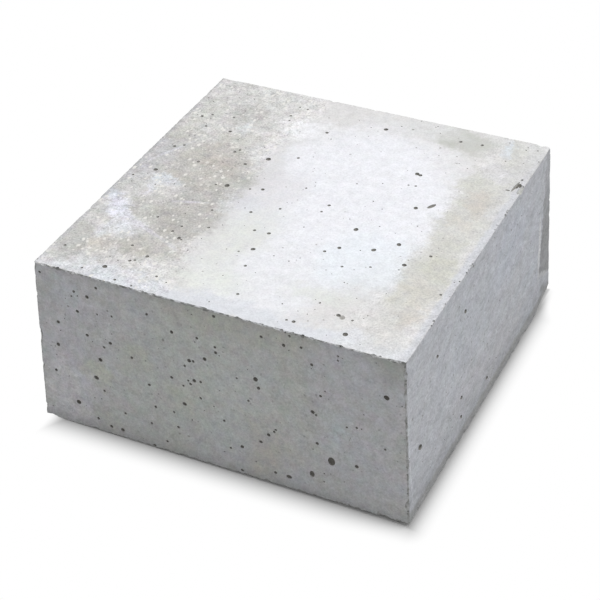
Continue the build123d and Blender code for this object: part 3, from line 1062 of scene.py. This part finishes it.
class Surface:
    """What the concrete's colours are worked out from, at each place of the block."""

    def __init__(self, plan, sizes):
        self.plan = plan
        self.stain = stain_group()
        found = plan.node("ShaderNodeTexCoord").outputs
        self.place = found["Object"]
        self.at = plan.parts(self.place)
        normal = plan.parts(found["Normal"])
        self.upward = plan.ramp(normal["Z"], 0.3, 0.6)
        self.forward = plan.ramp(normal["Y"], -0.5, -0.8)
        self.rightward = plan.ramp(normal["X"], 0.5, 0.8)
        outline = {"Face side": sizes.face_side, "Base side": sizes.base_side, "Height": sizes.height}
        depths = plan.group(skin_depth_group(), {"Place": self.place, **outline}).outputs
        self.depth, self.below, self.behind = depths["Depth"], depths["Below face"], depths["Behind front"]
        self.on_top = plan.times(self.upward, plan.fade(self.below, 0.0005, 0.0009))

        # How far places are moved about, so that the stains have uneven edges
        wide = plan.drift(self.place, 0.045, 5.0, 0.6)
        near = plan.drift(self.place, 0.010, 4.0, 0.75)
        self.shift = plan.vector("ADD", plan.vector("SCALE", wide, 0.030), plan.vector("SCALE", near, 0.022))
        self.little = plan.vector("SCALE", near, 0.004)
        self.warped = plan.vector("ADD", self.place, self.shift)
        clouds = plan.noise(self.place, 0.011, 5.0, 0.75)
        self.patches = plan.ramp(clouds, 0.35, 0.65, 0.45, 1.2, smooth=False)

    def nudged(self):
        """Places moved about a little."""
        return self.plan.vector("ADD", self.place, self.little)

    def stained(self, place, under, stains, patches=1.0):
        """A colour with stains laid over it one by one, each as strong as the patches let it be."""
        plan = self.plan
        for right, back, width, depth, turn, softness, strength, tint in stains:
            cos, sin = math.cos(math.radians(turn)), math.sin(math.radians(turn))
            mask = plan.group(
                self.stain,
                {
                    "Place": place,
                    "Middle": (right * MM, back * MM, 0.0),
                    "Along": (cos / (width * MM), sin / (width * MM), 0.0),
                    "Across": (-sin / (depth * MM), cos / (depth * MM), 0.0),
                    "Softness": softness,
                },
            )
            share = plan.maths("MULTIPLY", plan.times(mask, strength), patches, clamp=True)
            under = plan.blend(share, under, colour(*tint))
        return under

    def sides(self, colours):
        """Grey paste of the sides, with the tints of the front and the right side, and the facet's darker
        part, partly painted shade.
        """
        plan, at = self.plan, self.at
        clouds = plan.ramp(plan.noise(self.place, 0.035, 2.0, 0.5), 0.38, 0.62)
        paste = plan.blend(clouds, colours.paste, colours.cool_paste)
        on_front = plan.vector("ADD", plan.point(at["X"], at["Z"]), self.shift)
        front = self.stained(on_front, paste, FRONT_STAINS, self.patches)
        paste = plan.blend(self.forward, paste, front)
        on_right = plan.point(at["Y"], at["Z"])
        right = self.stained(plan.vector("ADD", on_right, self.shift), colours.right_paste, RIGHT_STAINS)
        # The facet's darker part: partly its broken surface, partly painted shade as it turns from the light
        lip = plan.maths("MULTIPLY_ADD", at["Y"], FACET_EDGE_FALL, at["Z"])
        above_lip = plan.ramp(plan.plus(lip, plan.parts(self.little)["Y"]), *FACET_EDGE)
        facet = plan.times(plan.mark("facet"), plan.ramp(at["Z"], 0.048, 0.084, 0.9, 0.45), above_lip)
        right = plan.blend(facet, right, colours.facet)
        right = self.stained(plan.vector("ADD", on_right, self.little), right, RIGHT_LINES)
        return plan.blend(self.rightward, paste, right)

    def darker_foot(self, paste, colours):
        """Paste made darker towards the foot, most of all on the right, and along the top of the front.

        At the foot this is partly damp and partly painted shade of the floor's shadow, and the band on the
        right is painted shade of its rounded foot.
        """
        plan = self.plan
        up = plan.plus(self.at["Z"], plan.parts(self.little)["X"])
        # Partly damp and partly painted shade: darker towards the foot, where the floor beside it lies in
        # shadow
        damp_and_shade = plan.maths("POWER", plan.ramp(up, 0.0, 0.05, 1.0, 0.0, smooth=False), 3.0)
        damp_and_shade = plan.times(damp_and_shade, plan.ramp(self.rightward, 0.0, 1.0, 0.4, 1.0))
        paste = plan.tinted(damp_and_shade, paste, DAMP_AND_PAINTED_SHADE)
        # Painted shade of the rounded lower arris on the right
        band = plan.times(plan.fade(up, 0.0058, 0.0092), plan.ramp(up, 0.0002, 0.0035, 0.2, 1.0))
        paste = plan.blend(plan.times(band, self.rightward), paste, PAINTED_FOOT_SHADE, "MULTIPLY")
        # The foot's colour, partly damp and partly painted shade at the base
        paste = plan.blend(plan.times(plan.fade(up, 0.001, 0.0085), FOOT_SHARE), paste, colours.foot)
        # Darker along the top of the front
        top_darkening = plan.times(plan.fade(self.below, 0.0008, 0.006), self.forward)
        return plan.tinted(top_darkening, paste, FRONT_TOP_DARKENING)

    def face(self, colours):
        """The face on top: bloom, stains and light lines."""
        face = self.stained(self.warped, colours.face, FACE_GROUND)
        face = self.stained(self.warped, face, FACE_STAINS, self.patches)
        return self.stained(self.nudged(), face, FACE_LINES)

    def grained(self, surface, colours):
        """A colour with the grain of the concrete, and the relief of that grain.

        The grain is coarsest in the stained part of the face and finest in the bloom.
        """
        plan, on_top, rightward = self.plan, self.on_top, self.rightward
        specks, flat_specks = specks_group("specks", "3D"), specks_group("flat_specks", "2D")
        left = plan.fade(plan.parts(self.warped)["X"], *STAINED_EDGE)
        band = plan.ramp(plan.parts(self.warped)["X"], *BAND_EDGE)
        face_shade = plan.ramp(band, 0.0, 1.0, plan.between(left, 0.65, 1.8), 1.2)
        side_hue = plan.ramp(rightward, 0.0, 1.0, 0.14, 0.06)
        drawn_out = plan.point(1.0, plan.ramp(rightward, 0.0, 1.0, 1.0, 0.6), 1.0)
        grain = plan.group(
            grain_group(),
            {
                "Place": plan.vector("MULTIPLY", self.place, drawn_out),
                "Shade": plan.between(on_top, plan.between(rightward, 1.05, 1.3), face_shade),
                "Hue": plan.between(on_top, side_hue, plan.between(left, 0.04, 0.10)),
            },
        ).outputs
        surface = plan.blend(1.0, surface, grain["Tint"], "MULTIPLY")
        grit = plan.group(flat_specks, {"Place": self.place, "Cell": 0.0027, "Share": 0.6, "Reach": 0.5})
        surface = plan.tinted(plan.times(grit, plan.times(left, on_top)), surface, GRIT_SHADE)
        fleck_place = plan.vector("MULTIPLY", self.nudged(), (1.0, 0.7, 1.0))
        flecks = plan.group(flat_specks, {"Place": fleck_place, "Cell": 0.0034, "Share": 0.8, "Reach": 0.40})
        clumps = plan.ramp(plan.noise(self.place, 0.014, 3.0, 0.7), 0.44, 0.56)
        flecks = plan.times(flecks, clumps, plan.times(left, on_top), FLECK_SHARE)
        surface = plan.blend(flecks, surface, colours.fleck)
        spots = plan.group(specks, {"Place": self.nudged(), "Cell": 0.0048, "Share": 0.5, "Reach": 0.19})
        surface = plan.tinted(plan.times(spots, plan.less(1.0, on_top)), surface, SPOT_SHADE)
        return surface, grain["Height"]

    def broken(self, surface, colours):
        """A colour with the core over it where an arris is broken."""
        plan = self.plan
        at_foot = plan.fade(self.at["Z"], 0.002, 0.004)
        at_head = plan.ramp(self.below, 0.002, 0.004, 1.0, 0.5)
        # Darker on the broken arrises at the top of the front and, half as strong, at the foot
        dark = plan.most(plan.times(plan.fade(self.behind, 0.002, 0.003), at_head), plan.times(at_foot, 0.5))
        core = plan.blend(dark, colours.core, colours.dark_core)
        patchy = plan.ramp(plan.noise(self.place, 0.003, 2.0, 0.6), 0.35, 0.6, 0.3, 0.95)
        fresh = plan.most(plan.ramp(self.behind, 0.004, 0.009, 1.0, 0.3), at_foot)
        return plan.blend(plan.times(plan.mark("broken"), patchy, fresh), surface, core)

    def hollow(self, surface, colours):
        """A colour with the inside of the voids over it, paler in the face on top.

        It is laid on more strongly the deeper it lies: partly the voids' own colour, partly painted shade.
        """
        plan = self.plan
        # Stronger the deeper it lies in a void: partly the voids' own colour, partly painted shade
        deep = plan.ramp(self.depth, 0.00004, 0.0010, 0.45, 1.0)
        at_right = plan.ramp(self.at["X"], *RIGHT_SKIN)
        pale = plan.times(plan.fade(self.below, 0.002, 0.004), plan.less(1.0, at_right))
        low_right = plan.times(at_right, plan.ramp(self.below, 0.003, 0.005, 1.0, 0.52))
        inside = plan.blend(pale, colours.hollow, colours.pale_hollow)
        return plan.blend(plan.times(plan.mark("hollow"), plan.most(deep, low_right)), surface, inside)


def concrete(colours, sizes):
    """Cast concrete: grey paste, a stained lime bloom on the face and a darker core in the breaks."""
    material = bpy.data.materials.new("cast_concrete")
    material.use_nodes = True
    plan = Plan(material.node_tree)
    block = Surface(plan, sizes)
    paste = block.darker_foot(block.sides(colours), colours)
    surface = plan.blend(block.on_top, paste, block.face(colours))
    surface, relief = block.grained(surface, colours)
    surface = block.hollow(block.broken(surface, colours), colours)
    shader = material.node_tree.nodes["Principled BSDF"]
    for name, value in (
        ("Base Color", surface),
        ("Roughness", plan.ramp(relief, 0.3, 0.7, 0.94, 0.82)),
        ("Specular IOR Level", 0.3),
        ("Normal", plan.node("ShaderNodeBump", {"Height": relief, "Strength": 0.35, "Distance": 0.0004})),
    ):
        plan.feed(shader.inputs[name], value)
    return material


def seen_directly(plan):
    """One where the camera looks, through glass and in mirrors too, and none where light falls on things."""
    path = plan.node("ShaderNodeLightPath").outputs
    return plan.most(plan.most(path["Is Camera Ray"], path["Is Glossy Ray"]), path["Is Transmission Ray"])


def floor_shadow(plan, stage):
    """How clear of the block's shadow the floor is, and how much darker its shadow is against the right side.

    Gaps between the floor's places and the block are stretched where the shadow is shorter.
    """
    at = plan.parts(plan.node("ShaderNodeTexCoord").outputs["Object"])
    x, y, edge = at["X"], at["Y"], stage.footprint / 2

    def gap(one, other):
        """How far one number is above another, or none."""
        return plan.most(plan.less(one, other), 0.0)

    right_gap = gap(x, edge)
    not_right = plan.fade(x, edge - 0.002, edge)
    in_front = plan.fade(y, -0.002 - edge, 0.004 - edge)
    beside = plan.ramp(right_gap, 0.0, SHADOW_FOOT_REACH, SHADOW_FOOT_SHADE, 1.0, smooth=False)
    beside = plan.most(beside, plan.most(not_right, in_front))
    shrunk = plan.ramp(y, *RIGHT_SHRINKS, *RIGHT_SHRUNK)
    right_gap = plan.times(right_gap, stage.shadow_reach / stage.bright_reach, shrunk)
    left_gap = plan.times(gap(-edge, x), LEFT_SHORTER)
    front_gap = plan.times(gap(-edge, y), plan.ramp(x, *FRONT_SHRINKS, *FRONT_SHRUNK))
    depth_gap = plan.maths("MULTIPLY_ADD", gap(y, edge), BACK_SHORTER, front_gap)
    far = plan.vector("LENGTH", plan.point(plan.plus(right_gap, left_gap), depth_gap))
    far = plan.ramp(far, 0.0, stage.shadow_reach, 0.0, math.pi / 2, smooth=False)
    clear = plan.maths("POWER", plan.maths("SINE", far), SHADOW_CURVE)

    # No shadow at the front left corner, and next to none where the right side ends
    left_end = plan.times(plan.fade(x, 0.002 - edge, 0.013 - edge), plan.fade(y, 0.002 - edge, 0.006 - edge))
    clear = plan.most(clear, left_end)
    back_end = plan.times(plan.ramp(y, *RIGHT_CLEARS, *RIGHT_CLEARED), plan.less(1.0, not_right))
    return plan.maths("MULTIPLY_ADD", plan.less(1.0, clear), back_end, clear), beside


def studio_floor(stage):
    """Pale floor: white to the camera a little way from the block, with the block's soft shadow beside it."""
    material = bpy.data.materials.new("studio_floor")
    material.use_nodes = True
    tree = material.node_tree
    tree.nodes.remove(tree.nodes["Principled BSDF"])
    plan = Plan(tree)
    clear, beside = floor_shadow(plan, stage)
    shade = plan.vector("SCALE", stage.floor_by_block[:3], beside)
    shaded = plan.node("ShaderNodeBsdfDiffuse", {"Color": shade})
    white = plan.node("ShaderNodeEmission", {"Color": WHITE, "Strength": 1.0})
    shown = plan.node("ShaderNodeMixShader", {0: clear, 1: shaded, 2: white})
    plain = plan.node("ShaderNodeBsdfDiffuse", {"Color": stage.floor})
    mixed = plan.node("ShaderNodeMixShader", {0: seen_directly(plan), 1: plain, 2: shown})
    plan.feed(tree.nodes["Material Output"].inputs["Surface"], mixed)
    return material


def studio_world(stage):
    """Plain white surroundings, dimmer as a light than they show."""
    world = bpy.data.worlds.new("studio")
    world.use_nodes = True
    tree = world.node_tree
    tree.nodes.remove(tree.nodes["Background"])
    plan = Plan(tree)
    light = plan.node("ShaderNodeBackground", {"Color": WHITE, "Strength": stage.surroundings})
    white = plan.node("ShaderNodeBackground", {"Color": WHITE, "Strength": 1.0})
    mixed = plan.node("ShaderNodeMixShader", {0: seen_directly(plan), 1: light, 2: white})
    plan.feed(tree.nodes["World Output"].inputs["Surface"], mixed)
    return world


def direction(azimuth, elevation):
    """Direction from the block, turned from the front towards the right and raised, in degrees."""
    turn, rise = math.radians(azimuth), math.radians(elevation)
    return Vector((math.sin(turn) * math.cos(rise), -math.cos(turn) * math.cos(rise), math.sin(rise)))


def lay_floor(scene, stage):
    """The square floor."""
    half = stage.floor_side / 2
    plane = bpy.data.meshes.new("floor")
    plane.from_pydata(
        [(-half, -half, 0), (half, -half, 0), (half, half, 0), (-half, half, 0)], [], [(0, 1, 2, 3)]
    )
    plane.materials.append(studio_floor(stage))
    placed(scene, "floor", plane)


def hang_lamp(scene, power):
    """The large soft lamp that faces the block."""
    data = bpy.data.lights.new("key", "AREA")
    data.shape = "DISK"
    data.size = LAMP_WIDTH
    data.energy = power
    lamp = placed(scene, "key", data)
    away = direction(LAMP_AZIMUTH, LAMP_ELEVATION)
    lamp.rotation_mode = "QUATERNION"
    lamp.rotation_quaternion = away.to_track_quat("Z", "Y")
    lamp.location = away * LAMP_DISTANCE


def set_camera(scene):
    """The camera, where the photograph was taken from."""
    back = direction(VIEW_AZIMUTH, VIEW_ELEVATION)
    right = Vector((0, 0, 1)).cross(back).normalized()
    up = back.cross(right)
    roll = math.radians(VIEW_ROLL)
    across = right * math.cos(roll) + up * math.sin(roll)
    upward = up * math.cos(roll) - right * math.sin(roll)
    lens = bpy.data.cameras.new("camera")
    lens.lens = VIEW_LENS
    lens.sensor_width = VIEW_SENSOR
    camera = placed(scene, "camera", lens)
    camera.matrix_world = Matrix((across, upward, back)).transposed().to_4x4()
    camera.location = across * VIEW_PLACE[0] + upward * VIEW_PLACE[1] + back * VIEW_PLACE[2]
    scene.camera = camera


class BLOCK_OT_cast(bpy.types.Operator):
    """Makes the worn concrete block in place of its plain solid"""

    bl_idname = "block.cast"
    bl_label = "Cast the block"

    def execute(self, context):
        scene = context.scene
        mesh = build_block(scene, concrete(scene.block_colours, scene.block_sizes))
        check = bmesh.new()
        check.from_mesh(mesh)
        open_edges = sum(not edge.is_manifold for edge in check.edges)
        check.free()
        if open_edges or not mesh.polygons:
            raise RuntimeError("the block is not a closed solid")
        block = placed(scene, "worn_block", mesh)
        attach(block, "root")
        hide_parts(NODE)
        return {"FINISHED"}


class BLOCK_OT_stage(bpy.types.Operator):
    """Sets the floor, the world, the lamp and the camera"""

    bl_idname = "block.stage"
    bl_label = "Set the studio"

    def execute(self, context):
        scene = context.scene
        scene.view_settings.view_transform = "Standard"
        scene.world = studio_world(scene.block_stage)
        lay_floor(scene, scene.block_stage)
        hang_lamp(scene, scene.block_stage.key_power)
        set_camera(scene)
        return {"FINISHED"}


VALUES = {
    "block_sizes": BlockSizes,
    "block_wear": BlockWear,
    "block_voids": BlockVoids,
    "block_colours": BlockColours,
    "block_stage": BlockStage,
}


class BLOCK_PT_sidebar(bpy.types.Panel):
    """Values of the block and the buttons that make it"""

    bl_idname = "BLOCK_PT_sidebar"
    bl_label = "Cast concrete block"
    bl_space_type = "VIEW_3D"
    bl_region_type = "UI"
    bl_category = "Block"

    def draw(self, context):
        for group in VALUES:
            values = getattr(context.scene, group)
            box = self.layout.box()
            for name in values.__annotations__:
                box.prop(values, name)
        self.layout.operator(BLOCK_OT_cast.bl_idname)
        self.layout.operator(BLOCK_OT_stage.bl_idname)


CLASSES = (*VALUES.values(), BLOCK_OT_cast, BLOCK_OT_stage, BLOCK_PT_sidebar)


def register():
    """Registers the classes and gives the scene their values."""
    for one in CLASSES:
        bpy.utils.register_class(one)
    for name, group in VALUES.items():
        setattr(bpy.types.Scene, name, bpy.props.PointerProperty(type=group))


def unregister():
    """Takes the classes and the scene's values away again."""
    for name in VALUES:
        delattr(bpy.types.Scene, name)
    for one in reversed(CLASSES):
        bpy.utils.unregister_class(one)


def main():
    """Makes the whole scene."""
    register()
    bpy.ops.block.cast()
    bpy.ops.block.stage()


if __name__ == "__main__":
    main()
